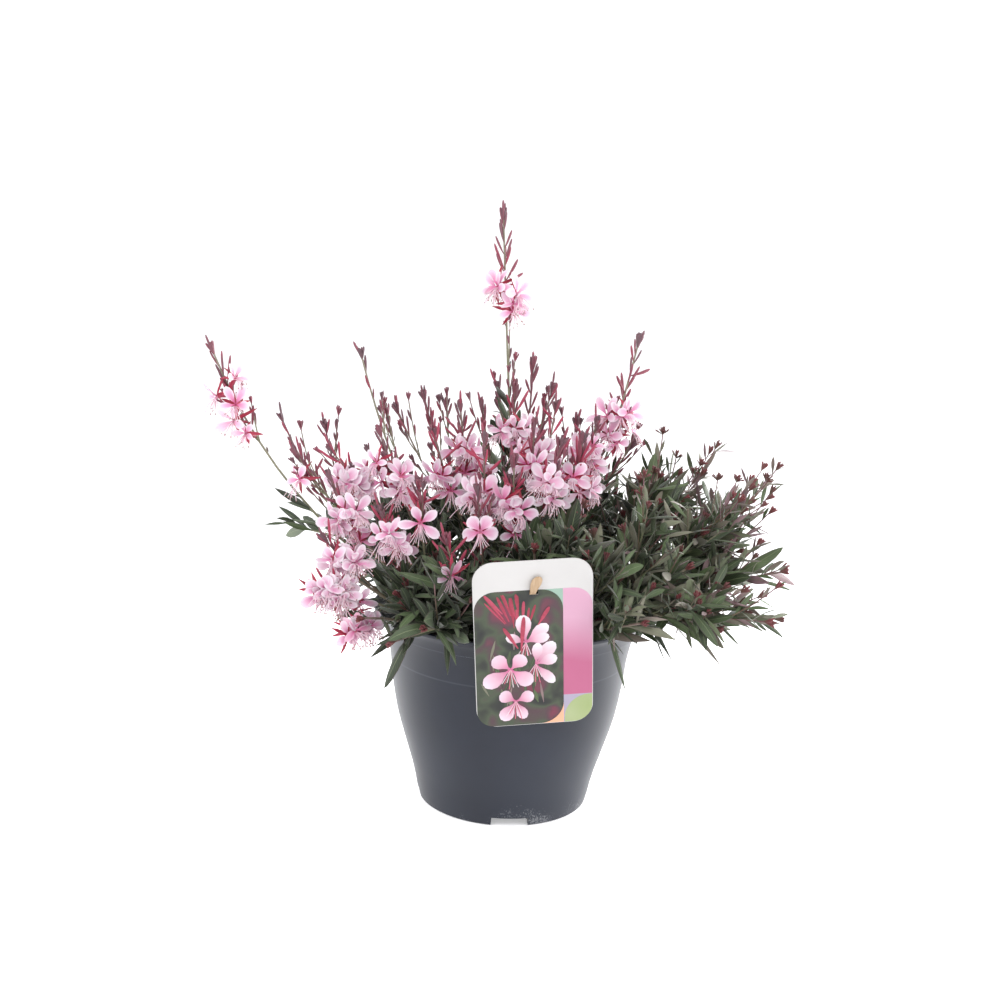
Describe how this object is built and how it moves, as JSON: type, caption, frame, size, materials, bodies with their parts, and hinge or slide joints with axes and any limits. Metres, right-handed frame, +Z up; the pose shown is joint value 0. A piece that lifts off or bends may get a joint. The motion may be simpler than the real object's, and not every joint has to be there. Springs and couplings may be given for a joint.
{
  "type": "potted gaura",
  "caption": "Round tapered nursery pot with a flared lip, holding a gaura in bud and flower on wiry stems above a mound of narrow leaves, with a plant label hung over the lip.",
  "frame": {"origin": "centre of the pot's underside, where it stands", "axes": "+Z up out of the pot, -Y towards the side with the plant label, +X to the right seen from that side"},
  "size_m": [0.4077, 0.2342, 0.4112],
  "materials": {
    "pot": "matte slate grey injection moulding",
    "soil": "moist crumbly peat",
    "label_card": "printed satin card",
    "label_pick": "bare pale wood",
    "wand": "plum and green-brown stems with plum-red buds",
    "foliage": "matte dark green leaves tinged with plum",
    "petals": "soft pale pink petals with paler rims"
  },
  "bodies": {
    "root": {"pot": "pot", "soil": "soil", "label_card": "label_card", "label_pick": "label_pick", "flower_wand_01": "wand", "flower_wand_02": "wand", "flower_wand_03": "wand", "flower_wand_04": "wand", "flower_wand_05": "wand", "flower_wand_06": "wand", "flower_wand_07": "wand", "flower_wand_08": "wand", "flower_wand_09": "wand", "flower_wand_10": "wand", "flower_wand_11": "wand", "flower_wand_12": "wand", "flower_wand_13": "wand", "flower_wand_14": "wand", "flower_wand_15": "wand", "flower_wand_16": "wand", "flower_wand_17": "wand", "flower_wand_18": "wand", "flower_wand_19": "wand", "flower_wand_20": "wand", "leafy_stem_01": "foliage", "leafy_stem_02": "foliage", "leafy_stem_03": "foliage", "leafy_stem_04": "foliage", "leafy_stem_05": "foliage", "leafy_stem_06": "foliage", "leafy_stem_07": "foliage", "leafy_stem_08": "foliage", "leafy_stem_09": "foliage", "leafy_stem_10": "foliage", "leafy_stem_11": "foliage", "leafy_stem_12": "foliage", "flowers_01": "petals", "flowers_02": "petals", "flowers_03": "petals", "flowers_04": "petals", "flowers_05": "petals", "flowers_06": "petals", "flowers_07": "petals", "flowers_08": "petals", "flowers_09": "petals", "flowers_10": "petals", "flowers_11": "petals", "flowers_12": "petals", "flowers_13": "petals", "flowers_14": "petals", "flowers_15": "petals", "flowers_16": "petals", "flowers_17": "petals", "flowers_18": "petals", "flowers_19": "petals", "flowers_20": "petals", "flowers_21": "petals", "flowers_22": "petals", "flowers_23": "petals"}
  },
  "joints": []
}
